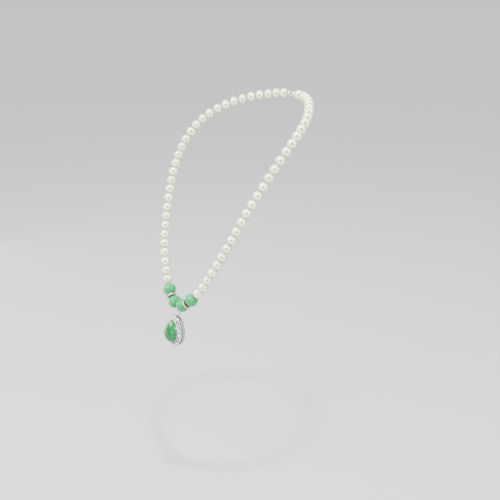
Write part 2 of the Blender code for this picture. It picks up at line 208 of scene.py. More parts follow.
# %% [markdown]
# ## Two shared effects
# **Cloudy stone** mixes a deep and a pale colour with soft noise, as in jade, where the colour drifts
# through the stone in clouds and streaks. A stretch along one direction turns clouds into streaks.
# **Polish marks** gives metal its fine scratches and its slightly uneven shine, so that no surface is
# a perfect mirror.

# %% Cloudy stone
def make_cloudy_stone():
    tree, into, out = new_group("cloudy_stone", [
        ("Deep", COLOUR, (0.0, 0.3, 0.1, 1.0)), ("Pale", COLOUR, (0.2, 0.8, 0.5, 1.0)),
        ("Scale", FLOAT, 200.0), ("Stretch", VECTOR, (1.0, 1.0, 1.0)), ("Lean", VECTOR, (0.0, 0.0, 0.0)),
        ("Contrast", FLOAT, 1.0)], [("Color", COLOUR), ("Height", FLOAT)])
    place = add_node(tree, "ShaderNodeTexCoord")
    turned = add_node(tree, "ShaderNodeMapping", [(place.outputs["Object"], "Vector"),
                                                   (into.outputs["Lean"], "Rotation"),
                                                   (into.outputs["Stretch"], "Scale")])
    clouds = add_node(tree, "ShaderNodeTexNoise", [(turned.outputs[0], "Vector"),
                                                   (into.outputs["Scale"], "Scale")])
    set_inputs(clouds, Detail=4.0, Roughness=0.55, Distortion=0.6)
    fine = add_node(tree, "ShaderNodeMath", [(into.outputs["Scale"], 0)], operation="MULTIPLY")
    fine.inputs[1].default_value = 6.0
    veins = add_node(tree, "ShaderNodeTexNoise", [(turned.outputs[0], "Vector"),
                                                  (fine.outputs[0], "Scale")])
    set_inputs(veins, Detail=3.0, Roughness=0.6)
    both = add_node(tree, "ShaderNodeMath", [(clouds.outputs["Fac"], 0), (veins.outputs["Fac"], 1)],
                    operation="MULTIPLY_ADD")
    both.inputs[2].default_value = -0.25
    spread = add_node(tree, "ShaderNodeMath", [(both.outputs[0], 0), (into.outputs["Contrast"], 1)],
                      operation="MULTIPLY_ADD", use_clamp=True)
    spread.inputs[2].default_value = 0.5
    mixed = add_node(tree, "ShaderNodeMix", data_type="RGBA")
    tree.links.new(spread.outputs[0], mixed.inputs[0])
    tree.links.new(into.outputs["Deep"], mixed.inputs[6])
    tree.links.new(into.outputs["Pale"], mixed.inputs[7])
    tree.links.new(mixed.outputs[2], out.inputs["Color"])
    tree.links.new(veins.outputs["Fac"], out.inputs["Height"])
    return tree


cloudy_stone = make_cloudy_stone()

# %% Polish marks
def make_polish_marks():
    tree, into, out = new_group("polish_marks", [
        ("Colour", COLOUR, (0.8, 0.8, 0.8, 1.0)), ("Roughness", FLOAT, 0.2), ("Unevenness", FLOAT, 0.1),
        ("Scale", FLOAT, 400.0)], [("Color", COLOUR), ("Roughness", FLOAT), ("Height", FLOAT)])
    place = add_node(tree, "ShaderNodeTexCoord")
    smears = add_node(tree, "ShaderNodeTexNoise", [(place.outputs["Object"], "Vector"),
                                                   (into.outputs["Scale"], "Scale")])
    set_inputs(smears, Detail=5.0, Roughness=0.6)
    centred = add_node(tree, "ShaderNodeMath", [(smears.outputs["Fac"], 0)], operation="SUBTRACT")
    centred.inputs[1].default_value = 0.5
    shine = add_node(tree, "ShaderNodeMath", [(centred.outputs[0], 0), (into.outputs["Unevenness"], 1),
                                               (into.outputs["Roughness"], 2)], operation="MULTIPLY_ADD")
    squeeze = add_node(tree, "ShaderNodeMapping", [(place.outputs["Object"], "Vector")])
    set_inputs(squeeze, Rotation=(0.4, 0.7, 0.2), Scale=(1.0, 9.0, 1.0))
    scratches = add_node(tree, "ShaderNodeTexNoise", [(squeeze.outputs[0], "Vector")])
    set_inputs(scratches, Scale=1400.0, Detail=2.0)
    dull = add_node(tree, "ShaderNodeMix", [(smears.outputs["Fac"], 0)], data_type="RGBA",
                    blend_type="MULTIPLY")
    tree.links.new(into.outputs["Colour"], dull.inputs[6])
    dull.inputs[7].default_value = (0.86, 0.85, 0.84, 1.0)
    tree.links.new(dull.outputs[2], out.inputs["Color"])
    tree.links.new(shine.outputs[0], out.inputs["Roughness"])
    tree.links.new(scratches.outputs["Fac"], out.inputs["Height"])
    return tree


polish_marks = make_polish_marks()


def add_bump(tree, shader, height, distance, strength=1.0):
    bump = add_node(tree, "ShaderNodeBump", [(height, "Height")])
    set_inputs(bump, Distance=distance, Strength=strength)
    tree.links.new(bump.outputs[0], shader.inputs["Normal"])


# %% [markdown]
# ## Stone and pearl
# Light enters nacre and jade, spreads below the surface and comes out again, so both use subsurface
# scattering. In pearl it is short and a little longer for red than for blue, which leaves warm edges.
# In jade it is several millimetres and longest for green, which makes thin parts glow. A clear coat
# over the pearl stands for its outermost layers, and a thin film in it gives the faint rainbow.
#
# A Layer Weight node drives a colour ramp from the middle of each pearl to its rim, painted into the
# base colour: bright ivory, then a dark yellow-green edge. The edge is painted shade and a painted
# reflection of dark green surroundings. The small dark dot in the middle stands for a reflection of
# whoever holds the camera. The dot and the edge are painted by the ramp and not reflected, so they turn
# to face every camera.

# %% Pearl
def make_nacre():
    material, tree, shader = new_material("nacre", (0.93, 0.91, 0.84), 0.27, 0.22)
    set_inputs(shader, Subsurface_Weight=0.35, Subsurface_Radius=(1.0, 0.85, 0.5), Subsurface_Scale=0.0012,
               Coat_Weight=0.7, Coat_Roughness=0.10, Coat_IOR=1.6)
    set_inputs(shader, Thin_Film_Thickness=430.0, Thin_Film_IOR=1.42)
    tint = add_node(tree, "ShaderNodeGroup", node_tree=cloudy_stone)
    set_inputs(tint, Deep=(0.86, 0.84, 0.68, 1.0), Pale=(0.96, 0.95, 0.84, 1.0), Scale=95.0, Contrast=1.6)
    edge = add_node(tree, "ShaderNodeLayerWeight")
    set_inputs(edge, Blend=0.5)
    # The ramp paints light and shade into the colour: a dark dot as a painted reflection, pale ivory, and a
    # dark rim of painted shade.
    painted_dot_and_edge = add_node(tree, "ShaderNodeValToRGB", [(edge.outputs["Facing"], "Fac")])
    stops = ((0.0, (0.34, 0.28, 0.20)), (0.016, (0.42, 0.36, 0.26)), (0.05, (1.0, 1.0, 0.96)),
             (0.28, (0.98, 0.98, 0.86)), (0.62, (0.62, 0.66, 0.42)), (1.0, (0.10, 0.13, 0.05)))
    for position, colour in stops[1:-1]:
        painted_dot_and_edge.color_ramp.elements.new(position).color = (*colour, 1.0)
    painted_dot_and_edge.color_ramp.elements[0].color = (*stops[0][1], 1.0)
    painted_dot_and_edge.color_ramp.elements[-1].color = (*stops[-1][1], 1.0)
    skin = add_node(tree, "ShaderNodeMix", data_type="RGBA", blend_type="MULTIPLY")
    skin.inputs[0].default_value = 1.0
    tree.links.new(tint.outputs["Color"], skin.inputs[6])
    tree.links.new(painted_dot_and_edge.outputs["Color"], skin.inputs[7])
    tree.links.new(skin.outputs[2], shader.inputs["Base Color"])
    growth = add_node(tree, "ShaderNodeTexNoise")
    place = add_node(tree, "ShaderNodeTexCoord")
    tree.links.new(place.outputs["Object"], growth.inputs["Vector"])
    set_inputs(growth, Scale=700.0, Detail=3.0)
    add_bump(tree, shader, growth.outputs["Fac"], 0.00004, 0.5)
    return material


nacre = make_nacre()


# %% Jade
def make_jade(name, deep, pale, scale, stretch, lean, contrast, depth):
    material, tree, shader = new_material(name, pale, 0.06)
    set_inputs(shader, Subsurface_Weight=0.85, Subsurface_Radius=(0.25, 1.0, 0.55), Subsurface_Scale=depth,
               Specular_IOR_Level=0.30, Coat_Weight=0.25, Coat_Roughness=0.02)
    body = add_node(tree, "ShaderNodeGroup", node_tree=cloudy_stone)
    set_inputs(body, Deep=(*deep, 1.0), Pale=(*pale, 1.0), Scale=scale, Stretch=stretch, Lean=lean,
               Contrast=contrast)
    tree.links.new(body.outputs["Color"], shader.inputs["Base Color"])
    add_bump(tree, shader, body.outputs["Height"], 0.00003, 0.25)
    return material


PENDANT_LEAN = math.radians(9.0)
bead_jade = make_jade("bead_jade", (0.0, 0.20, 0.050), (0.0, 0.35, 0.120), 160.0, (1.0, 1.0, 0.7),
                      (0.0, 0.0, 0.0), 2.2, 0.0030)
cabochon_jade = make_jade("cabochon_jade", (0.0, 0.085, 0.016), (0.0, 0.21, 0.052), 240.0, (1.0, 1.0, 0.16),
                          (PENDANT_LEAN, 0.0, 0.0), 2.0, 0.0030)

# %% [markdown]
# ## Metal, crystal and silk
# The silver is bright plate: a metal with a low roughness and the shared polish marks. A Layer Weight
# node paints it darker towards the edges, a painted reflection in place of dark surroundings that it
# would reflect. The rose gold and the magnets' nickel are the same recipe in other colours, and a dark
# silver paints shade into the hollows. The crystals are backed with foil, so they look silvery-white
# instead of clear. Each facet keeps a painted brightness of its own in a face attribute, which the
# material multiplies in: a dark table as a painted reflection, and painted light on the other facets.

# %% Metal, crystal and silk
def make_metal(name, colour, roughness, unevenness, scale):
    material, tree, shader = new_material(name, colour, roughness, 1.0)
    marks = add_node(tree, "ShaderNodeGroup", node_tree=polish_marks)
    set_inputs(marks, Colour=(*colour, 1.0), Roughness=roughness, Unevenness=unevenness, Scale=scale)
    # This Layer Weight mix paints the colour darker towards the edges, down to 12%: painted shade for dark
    # surroundings reflected there.
    rim = add_node(tree, "ShaderNodeLayerWeight")
    set_inputs(rim, Blend=0.45)
    shade = add_node(tree, "ShaderNodeMix", [(rim.outputs["Facing"], 0)], data_type="RGBA")
    tree.links.new(marks.outputs["Color"], shade.inputs[6])
    shade.inputs[7].default_value = (*[channel * 0.12 for channel in colour], 1.0)
    tree.links.new(shade.outputs[2], shader.inputs["Base Color"])
    tree.links.new(marks.outputs["Roughness"], shader.inputs["Roughness"])
    add_bump(tree, shader, marks.outputs["Height"], 0.00001, 0.35)
    return material


silver = make_metal("silver", (0.96, 0.95, 0.94), 0.14, 0.14, 420.0)
rose_gold = make_metal("rose_gold", (0.86, 0.54, 0.46), 0.20, 0.16, 420.0)
nickel = make_metal("nickel", (0.60, 0.59, 0.58), 0.32, 0.20, 600.0)


def make_crystal():
    material, tree, shader = new_material("crystal", (0.94, 0.95, 0.97), 0.04, 0.85)
    set_inputs(shader, Coat_Weight=0.5, Coat_Roughness=0.0)
    marks = add_node(tree, "ShaderNodeGroup", node_tree=polish_marks)
    set_inputs(marks, Colour=(0.94, 0.95, 0.97, 1.0), Roughness=0.04, Unevenness=0.05, Scale=900.0)
    # The facet attribute paints light into the colour: a dark table as a painted reflection, painted
    # brightness on the other facets.
    facet = add_node(tree, "ShaderNodeAttribute", attribute_name="facet")
    painted_facet_light = add_node(tree, "ShaderNodeMix", data_type="RGBA", blend_type="MULTIPLY")
    painted_facet_light.inputs[0].default_value = 1.0
    tree.links.new(marks.outputs["Color"], painted_facet_light.inputs[6])
    tree.links.new(facet.outputs["Fac"], painted_facet_light.inputs[7])
    tree.links.new(painted_facet_light.outputs[2], shader.inputs["Base Color"])
    tree.links.new(marks.outputs["Roughness"], shader.inputs["Roughness"])
    return material


crystal = make_crystal()
# Dark silver that paints shade into the hollows of the setting and onto the gallery rails.
painted_shade_silver = make_metal("painted_shade_silver", (0.12, 0.12, 0.115), 0.42, 0.20, 500.0)


def make_silk():
    material, tree, shader = new_material("silk", (0.86, 0.84, 0.78), 0.75)
    set_inputs(shader, Sheen_Weight=0.4, Sheen_Roughness=0.4)
    place = add_node(tree, "ShaderNodeTexCoord")
    slant = add_node(tree, "ShaderNodeMapping", [(place.outputs["Object"], "Vector")])
    set_inputs(slant, Rotation=(0.5, 0.4, 0.6))
    ply = add_node(tree, "ShaderNodeTexWave", [(slant.outputs[0], "Vector")])
    set_inputs(ply, Scale=900.0, Distortion=0.5)
    # The ply's grooves, low in the wave, are painted darker as shade, in step with the bump.
    shade = add_node(tree, "ShaderNodeMix", [(ply.outputs["Fac"], 0)], data_type="RGBA")
    shade.inputs[6].default_value = (0.66, 0.63, 0.56, 1.0)
    shade.inputs[7].default_value = (0.90, 0.88, 0.83, 1.0)
    tree.links.new(shade.outputs[2], shader.inputs["Base Color"])
    add_bump(tree, shader, ply.outputs["Fac"], 0.00006, 0.8)
    return material


silk = make_silk()
print("materials:", sorted(m.name for m in bpy.data.materials if m.users))

# %% [markdown]
# ## Where the beads sit
# The cord's route is a short list of points, from under the thread ring round to the clasp on the
# wearer's left. The second to the thirteenth are a fitting program's output, thinned and rounded, and
# only the first and the last three were given one by one. The other half is its mirror image. A smooth
# curve goes through the points, and the beads are laid along it one after another, each at a straight
# distance from the last, as a stringer lays them. The cord is straight inside each bore and bends only
# where two beads meet.

# %% The route and the bead sizes
PEARL_ACROSS = 8.8 * MM
PEARL_ALONG = 7.9 * MM
JADE_ACROSS = 11.0 * MM
JADE_ALONG = 10.4 * MM
RONDELLE_D = 8.4 * MM
RONDELLE_LENGTH = 2.3 * MM
BORE_R = 0.55 * MM
CORD_R = 0.25 * MM
BEAD_GAP = 0.1 * MM
HINGE_GAP = 0.6 * MM
RING_ROOM = 1.0 * MM
PEARLS_PER_SIDE = 30
BENDS_AFTER = (0, 9, 17, 21)
ROUTE_MM = [
    (0.0, -60.3, -131.6), (5.5, -60.2, -128.9), (15.7, -58.1, -121.8), (25.9, -54.0, -108.7),
    (37.0, -47.8, -88.1), (45.4, -39.7, -67.0), (52.6, -30.6, -45.9), (58.9, -19.6, -25.3),
    (62.6, -5.7, -6.0), (62.7, 5.6, 5.5), (59.9, 18.2, 15.1), (53.5, 30.9, 22.5),
    (43.7, 42.4, 28.0), (31.7, 53.0, 31.7), (18.3, 61.2, 34.2), (0.0, 64.6, 35.3),
]


def smooth_path(points, steps=30):
    """Points along a smooth curve through the given ones, made of cubic Hermite pieces."""
    p = [Vector(q) for q in points]
    t = [0.0]
    for near, far in zip(p, p[1:]):
        t.append(t[-1] + (far - near).length)
    slope = [(p[1] - p[0]) / (t[1] - t[0])]
    for i in range(1, len(p) - 1):
        before, after = t[i] - t[i - 1], t[i + 1] - t[i]
        rise = (p[i + 1] - p[i]) / after * before + (p[i] - p[i - 1]) / before * after
        slope.append(rise / (before + after))
    slope.append((p[-1] - p[-2]) / (t[-1] - t[-2]))
    out = []
    for i in range(len(p) - 1):
        h = t[i + 1] - t[i]
        for k in range(steps):
            u = k / steps
            start, end = (1 + 2 * u) * (1 - u) ** 2, u * u * (3 - 2 * u)
            lead, tail = h * u * (1 - u) ** 2, h * u * u * (u - 1)
            out.append(p[i] * start + p[i + 1] * end + slope[i] * lead + slope[i + 1] * tail)
    return [q * MM for q in out + [p[-1]]]


def step_along(path, index, start, distance):
    """The next point of the path at a straight distance from start, and where the path goes on."""
    while index < len(path) - 1 and (path[index] - start).length < distance:
        index += 1
    near, far = path[index - 1], path[index]
    inside, outside = (near - start).length, (far - start).length
    return near.lerp(far, (distance - inside) / (outside - inside)), index


# %% Lay the beads
def half_gap(number):
    return (HINGE_GAP if number in BENDS_AFTER else BEAD_GAP) / 2


def lay_beads():
    """Each bead's middle, direction and two ends, on the wearer's left half."""
    jade, spacer, pearl, small = JADE_ALONG / 2, RONDELLE_LENGTH / 2, PEARL_ALONG / 2, BEAD_GAP / 2
    beads = [("jade_inner", jade + RING_ROOM, jade + small), ("rondelle", spacer + small, spacer + small),
             ("jade_outer", jade + small, jade + half_gap(0))]
    for number in range(1, PEARLS_PER_SIDE + 1):
        beads.append((number, pearl + half_gap(number - 1), pearl + half_gap(number)))
    path = smooth_path(ROUTE_MM)
    start, index, laid = path[0], 1, {}
    for kind, before, after in beads:
        end, index = step_along(path, index, start, before + after)
        along = (end - start).normalized()
        laid[kind] = {"at": start + along * before, "along": along, "start": start, "end": end}
        start = end
    return laid


laid = lay_beads()
SIDES = (("left", 1), ("right", -1))


def mirrored(vector, side):
    return Vector((vector.x * side, vector.y, vector.z))


def bead_place(kind, side, spin=0.0):
    """The matrix that stands a shape turned about Z on the cord."""
    bead = laid[kind]
    facing = mirrored(bead["along"], side).to_track_quat("Z", "Y").to_matrix().to_4x4()
    return Matrix.Translation(mirrored(bead["at"], side)) @ facing @ Matrix.Rotation(spin, 4, "Z")


low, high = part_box("pearl_left_05")
print("pearl 5 is", round(((low + high) / 2 - laid[5]["at"]).length / MM, 3), "mm from its plain one")
low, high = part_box("jade_outer_right")
jade_error = ((low + high) / 2 - mirrored(laid["jade_outer"]["at"], -1)).length
print("outer jade is", round(jade_error / MM, 3), "mm off")


# %% [markdown]
# ## Tools for shapes
# Most of a necklace is turned: pearls, beads, rondelles, rings and the clasp. A turned shape starts as
# a few points joined by edges, its profile, and `bmesh.ops.spin` carries them once round. A closed
# profile that stays clear of the axis gives a shape with a bore. `finish` makes the bmesh an object,
# gives it its material, and fixes it to the body that it moves with.

# %% Helpers for shapes
def finish(bm, name, material, body, replaces=(), smooth_angle=40.0, matrix=None, recess=None):
    """Makes a piece of a bmesh, riding on a body; the faces that recess picks out get dark silver as
    painted shade.
    """
    for face in bm.faces:
        face.material_index = 1 if recess and recess(face) else 0
    if matrix is not None:
        bmesh.ops.transform(bm, matrix=matrix, verts=bm.verts)
    bmesh.ops.remove_doubles(bm, verts=bm.verts, dist=1e-7)
    bmesh.ops.recalc_face_normals(bm, faces=bm.faces)
    mesh = bpy.data.meshes.new(name)
    bm.to_mesh(mesh)
    bm.free()
    if smooth_angle:
        mesh.shade_smooth()
        mesh.set_sharp_from_angle(angle=math.radians(smooth_angle))
    mesh.materials.append(material)
    if recess:
        mesh.materials.append(painted_shade_silver)
    piece = bpy.data.objects.new(name, mesh)
    bpy.context.scene.collection.objects.link(piece)
    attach(piece, body)
    if replaces:
        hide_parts(*replaces)
    return piece


def spin_profile(profile, steps, closed=True):
    """A new bmesh of a profile of (radius, height) points turned about Z."""
    bm = bmesh.new()
    points = [bm.verts.new((radius, 0.0, height)) for radius, height in profile]
    edges = [bm.edges.new(pair) for pair in zip(points, points[1:])]
    if closed:
        edges.append(bm.edges.new((points[-1], points[0])))
    bmesh.ops.spin(bm, geom=points + edges, cent=(0, 0, 0), axis=(0, 0, 1), dvec=(0, 0, 0),
                   angle=math.tau, steps=steps, use_merge=True, use_duplicate=False)
    return bm


def arc(centre, radius, start, end, count):
    """Points of an arc in a profile's plane, with angles in degrees."""
    angles = [math.radians(start + (end - start) * k / (count - 1)) for k in range(count)]
    return [(centre[0] + radius * math.cos(a), centre[1] + radius * math.sin(a)) for a in angles]


# %% [markdown]
# ## Pearls
# A pearl is a ball, and here it is a little shorter along its hole than across it. The hole has a small
# softened lip at each mouth. No two are alike: each is turned by its own amount about the cord and is
# very slightly longer or shorter, which a seeded random number sets, so that every run of the script
# gives the same strand.

# %% Sixty pearls
PEARL_STEPS = 44
PEARL_BANDS = 26
LIP = 0.12 * MM


def ball_profile(across, along, bore, bands, lip):
    """A bored bead's outline with softened mouths; the bore itself closes the loop."""
    first = math.asin(2 * (bore + lip) / across)
    angles = [first + (math.pi - 2 * first) * k / bands for k in range(bands + 1)]
    outline = [(across / 2 * math.sin(a), -along / 2 * math.cos(a)) for a in angles]
    mouth = outline[0][1]
    inner = [(bore + lip * 0.3, mouth + lip * 0.15), (bore, mouth + lip)]
    return inner[::-1] + outline + [(radius, -height) for radius, height in inner]


def pearl_home(number, side_name):
    """The body that a pearl rides on and the plain node that it stands for."""
    if number <= 9:
        return "lower_chest", "pearl_%s_%02d" % (side_name, number)
    if number <= 17:
        return "upper_chest", "pearl_%s_%02d" % (side_name, number)
    if number <= 21:
        return "collar", "shoulder_pearls_" + side_name
    return "nape_" + side_name, "nape_pearls_" + side_name


rng = random.Random(7)
pearl_outline = ball_profile(PEARL_ACROSS, PEARL_ALONG, BORE_R, PEARL_BANDS, LIP)
for side_name, side in SIDES:
    for number in range(1, PEARLS_PER_SIDE + 1):
        body, node = pearl_home(number, side_name)
        stretch = (rng.uniform(0.99, 1.0), rng.uniform(0.99, 1.0), rng.uniform(0.985, 1.0))
        shape = Matrix.Diagonal((*stretch, 1.0))
        place = bead_place(number, side, rng.uniform(0.0, math.tau)) @ shape
        finish(spin_profile(pearl_outline, PEARL_STEPS), "nacre_%s_%02d" % (side_name, number), nacre, body,
               [node], matrix=place)
print("made", 2 * PEARLS_PER_SIDE, "pearls")

# %% [markdown]
# ## Jade beads
# The four jade beads are turned in the same way, a quarter larger and more even, because stone beads
# are ground to shape between grooved wheels and lose only a little length where they are drilled.

# %% Four jade beads
jade_outline = ball_profile(JADE_ACROSS, JADE_ALONG, BORE_R, 34, LIP)
for side_name, side in SIDES:
    for kind in ("jade_inner", "jade_outer"):
        node = kind + "_" + side_name
        finish(spin_profile(jade_outline, 60), "bead_" + node, bead_jade, node, [node],
               matrix=bead_place(kind, side, rng.uniform(0.0, math.tau)))
print("made 4 jade beads")

# %% [markdown]
# ## Cut crystals
# A cut stone has a flat table on top, a ring of slanting facets round it, a thin edge called the
# girdle, and facets that run to a point below. Only its corners need placing: `bmesh.ops.convex_hull`
# stretches a skin over them, and the skin's flat faces are the facets. The table is given a dark value,
# a painted reflection, and every other facet a bright one of its own, painted light that differs from
# facet to facet, from the seeded random numbers.

# %% A cut stone
def cut_stone(radius, sides=8):
    """A new bmesh of a round cut stone, table up, its girdle at height 0."""
    bm = bmesh.new()
    half = math.pi / sides
    rings = [(0.56, 0.34, half), (0.80, 0.20, 0.0), (0.62, -0.36, 0.0)]
    for size, height, shift in rings:
        for k in range(sides):
            angle = math.tau * k / sides + shift
            reach = radius * size
            bm.verts.new((reach * math.cos(angle), reach * math.sin(angle), radius * height))
    for height in (-0.03, 0.03):
        for k in range(2 * sides):
            angle = half * k
            bm.verts.new((radius * math.cos(angle), radius * math.sin(angle), radius * height))
    bm.verts.new((0.0, 0.0, -0.82 * radius))
    bmesh.ops.convex_hull(bm, input=bm.verts)
    bmesh.ops.recalc_face_normals(bm, faces=bm.faces)
    facet = bm.faces.layers.float.new("facet")
    # Painted light per facet: the table dark as a painted reflection, the others a random painted
    # brightness.
    for face in bm.faces:
        table = face.normal.z > 0.95
        face[facet] = 0.12 if table else rng.uniform(0.75, 1.0)
    return bm


def copies(source, matrices):
    """A new bmesh that holds one copy of a bmesh at each matrix; the source is used up."""
    mesh = bpy.data.meshes.new("copied")
    source.to_mesh(mesh)
    source.free()
    bm = bmesh.new()
    for matrix in matrices:
        first = len(bm.verts)
        bm.from_mesh(mesh)
        bm.verts.ensure_lookup_table()
        bmesh.ops.transform(bm, matrix=matrix, verts=bm.verts[first:])
    bpy.data.meshes.remove(mesh)
    return bm


# %% [markdown]
# ## Rondelles
# A rondelle is a sandwich: two rose-gold plates with wavy edges, soldered to a short tube, and a ring of
# small crystals gripped between them, tables outwards. The wave is made by pushing the rim's points in
# and out with a cosine, one wave for each crystal, so that the metal hugs every stone.

# %% Two rondelles
RONDELLE_STONES = 12
RONDELLE_STONE_R = 0.93 * MM
PLATE_T = 0.42 * MM
PLATE_R = RONDELLE_D / 2 - 0.1 * MM


def rondelle_plate(height):
    """A plate with a soft edge and a wavy rim; height is its inner face."""
    lean = PLATE_T if height > 0 else -PLATE_T
    rim = arc((PLATE_R - PLATE_T / 2, height + lean / 2), PLATE_T / 2, -90, 90, 6)
    first, last = (height, height + lean) if lean > 0 else (height + lean, height)
    flat = PLATE_R * 0.6
    profile = [(BORE_R, first), (flat, first), *rim, (flat, last), (BORE_R, last)]
    bm = spin_profile(profile, RONDELLE_STONES * 8)
    for vert in bm.verts:
        reach = math.hypot(vert.co.x, vert.co.y)
        if reach > PLATE_R * 0.75:
            wave = 1.0 + 0.028 * math.cos(RONDELLE_STONES * math.atan2(vert.co.y, vert.co.x))
            vert.co.x *= wave
            vert.co.y *= wave
    return bm


def round_the_rim(count, reach, shift=0.0):
    """Matrices round Z, each facing outwards at the given reach."""
    turns = [math.tau * (k + shift) / count for k in range(count)]
    outwards = Matrix.Translation((reach, 0, 0)) @ Matrix.Rotation(math.pi / 2, 4, "Y")
    return [Matrix.Rotation(a, 4, "Z") @ outwards for a in turns]


for side_name, side in SIDES:
    body = "rondelle_" + side_name
    place = bead_place("rondelle", side)
    inner_face = RONDELLE_LENGTH / 2 - PLATE_T
    for label, height in (("near", -inner_face), ("far", inner_face)):
        finish(rondelle_plate(height), "rondelle_plate_%s_%s" % (label, side_name), rose_gold, body,
               [body], matrix=place)
    tube = [(BORE_R, -inner_face), (2.2 * MM, -inner_face), (2.2 * MM, inner_face), (BORE_R, inner_face)]
    finish(spin_profile(tube, 36), "rondelle_tube_" + side_name, rose_gold, body, [body],
           matrix=place)
    stones = copies(cut_stone(RONDELLE_STONE_R), round_the_rim(RONDELLE_STONES, PLATE_R - 0.34 * MM))
    finish(stones, "rondelle_crystals_" + side_name, crystal, body, [body], smooth_angle=None,
           matrix=place)
    claw = spin_profile([(0.0, -0.2 * MM), *arc((0.0, 0.3 * MM), 0.2 * MM, 0, 90, 5)], 10, closed=False)
    grips = []
    for face in (-inner_face, inner_face):
        for turned in round_the_rim(RONDELLE_STONES, PLATE_R - 0.1 * MM, 0.5):
            grips.append(Matrix.Translation((0, 0, face * 0.72)) @ turned)
    finish(copies(claw, grips), "rondelle_claws_" + side_name, rose_gold, body, [body],
           matrix=place)
print("made 2 rondelles with", 2 * RONDELLE_STONES, "crystals")

# %% [markdown]
# ## The hidden cord
# The working model already has the cord through the front of the strand, so there it only needs its
# silk. Round the shoulders and the nape the cord was part of a plain run of pearls, so it is made anew
# as a curve with a round bevel, with a knot at the end that the clasp holds.

# %% Silk cord
def silk_curve(name, points, body, node):
    data = bpy.data.curves.new(name, "CURVE")
    data.dimensions = "3D"
    data.bevel_depth = CORD_R
    data.bevel_resolution = 3
    data.use_fill_caps = True
    spline = data.splines.new("POLY")
    spline.points.add(len(points) - 1)
    for knot, point in zip(spline.points, points):
        knot.co = (*point, 1.0)
    data.materials.append(silk)
    piece = bpy.data.objects.new(name, data)
    bpy.context.scene.collection.objects.link(piece)
    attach(piece, body)
    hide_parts(node)
    return piece


CLASP_GAP = 0.3 * MM
clasp_end = laid[PEARLS_PER_SIDE]["end"]
barrel_length = clasp_end.x - BEAD_GAP / 2 - CLASP_GAP / 2
BARREL_FLOOR = 1.4 * MM
KNOT_R = 0.8 * MM
knot_x = clasp_end.x - BEAD_GAP / 2 - BARREL_FLOOR - KNOT_R - 0.3 * MM

for side_name, side in SIDES:
    for label, low_number, high_number, body in (("shoulder", 18, 21, "collar"),
                                                 ("nape", 22, PEARLS_PER_SIDE, "nape_" + side_name)):
        node = label + "_pearls_" + side_name
        points = [laid[low_number]["start"].lerp(laid[low_number]["at"], 0.04)]
        points += [laid[number]["end"] for number in range(low_number, high_number)]
        if label == "shoulder":
            points.append(laid[high_number]["end"].lerp(laid[high_number]["at"], 0.04))
        else:
            points += [clasp_end, Vector((knot_x, clasp_end.y, clasp_end.z))]
        silk_curve("silk_%s_%s" % (label, side_name), [mirrored(p, side) for p in points], body, node)
    outline = [(0.0, -KNOT_R), *arc((0, 0), KNOT_R, -75, 75, 12), (0.0, KNOT_R)]
    knot_at = Matrix.Translation((side * knot_x, clasp_end.y, clasp_end.z))
    finish(spin_profile(outline, 20, closed=False), "silk_knot_" + side_name, silk, "nape_" + side_name,
           ["nape_pearls_" + side_name], matrix=knot_at @ Matrix.Rotation(math.pi / 2, 4, "Y"))
for name in ("cord_centre", "cord_lower_left", "cord_lower_right", "cord_upper_left", "cord_upper_right"):
    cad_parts[name].data.materials.clear()
    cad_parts[name].data.materials.append(silk)
half_strand = sum((bead["end"] - bead["start"]).length for bead in laid.values())
print("the strand is", round(2 * half_strand / MM), "mm long")

# %% [markdown]
# ## Wire rings
# Three small rings carry the pendant: one round the cord between the two middle beads, one through it,
# and the eyelet on the pendant itself. Each is a round wire bent to a circle and soldered, so a small
# circle is spun round the ring's axis. Neighbouring rings stand at right angles, as in any chain.

# %% Wire rings
WIRE_R = 0.35 * MM
LINK_GAP = 0.1 * MM
THREAD_RING_R = 2.75 * MM
BAIL_RING_R = 1.5 * MM
EYELET_R = 1.3 * MM
links_down = Vector((0.0, math.sin(PENDANT_LEAN), -math.cos(PENDANT_LEAN)))
links_front = Vector((0.0, math.cos(PENDANT_LEAN), math.sin(PENDANT_LEAN)))
clear_of_wire = 2 * WIRE_R + LINK_GAP
thread_ring_at = THREAD_RING_R - CORD_R - WIRE_R - LINK_GAP
bail_ring_at = thread_ring_at + THREAD_RING_R - clear_of_wire + BAIL_RING_R
eyelet_at = bail_ring_at + BAIL_RING_R - clear_of_wire + EYELET_R


def link_point(distance):
    return Vector(ROUTE_MM[0]) * MM + links_down * distance


def wire_ring(name, distance, radius, normal, body):
    section = [(radius + x, z) for x, z in arc((0.0, 0.0), WIRE_R, 0, 337.5, 16)]
    place = Matrix.Translation(link_point(distance)) @ normal.to_track_quat("Z", "Y").to_matrix().to_4x4()
    return finish(spin_profile(section, 56), name + "_wire", silver, body, [name],
                  smooth_angle=60, matrix=place)


wire_ring("thread_ring", thread_ring_at, THREAD_RING_R, Vector((1, 0, 0)), "thread_ring")
wire_ring("bail_ring", bail_ring_at, BAIL_RING_R, links_front, "bail_ring")
wire_ring("eyelet", eyelet_at, EYELET_R, Vector((1, 0, 0)), "pendant")
print("the eyelet hangs", round(eyelet_at / MM, 2), "mm below the cord")

# %% [markdown]
# ## The pendant's outline
# The stone is a pear: a circle drawn out to a soft tip. One short formula gives the outline, and an
# offset gives the larger outlines round it for the bezel, the halo and the gallery. Each point of a
# loop remembers its turn round the pear in a custom layer. `extrude_edge_only` then copies the loop
# with its layers, so every new loop knows where on the pear each of its points belongs.

